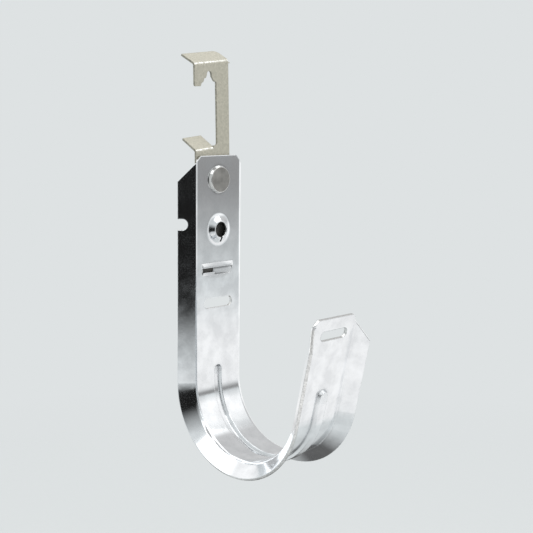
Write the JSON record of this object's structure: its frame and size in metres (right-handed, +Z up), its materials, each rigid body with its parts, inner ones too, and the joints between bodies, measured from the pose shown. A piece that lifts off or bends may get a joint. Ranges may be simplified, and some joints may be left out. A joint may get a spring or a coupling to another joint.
{
  "type": "j hook cable support",
  "caption": "Folded sheet steel J hook with flared edges and a stiffening bead, riveted to a spring steel hanger clip with a side opening, for carrying a bundle of cables.",
  "frame": {"origin": "where the top of the hanger clip's stepped notch bears on what it hangs from, halfway through the clip's sheet", "axes": "+Z up along the hook's upright back, +X outwards from the back's front face over the loop towards the tip, +Y across the strip along the cables' run"},
  "size_m": [0.0706, 0.0339, 0.1581],
  "materials": {
    "zinc_steel": "bright zinc coat, satin",
    "coated_spring_steel": "beige grey coat, eggshell",
    "rivet_steel": "tumbled, satin"
  },
  "bodies": {
    "root": {"j_hook": "zinc_steel", "hanger_clip": "coated_spring_steel", "rivet": "rivet_steel"}
  },
  "joints": []
}
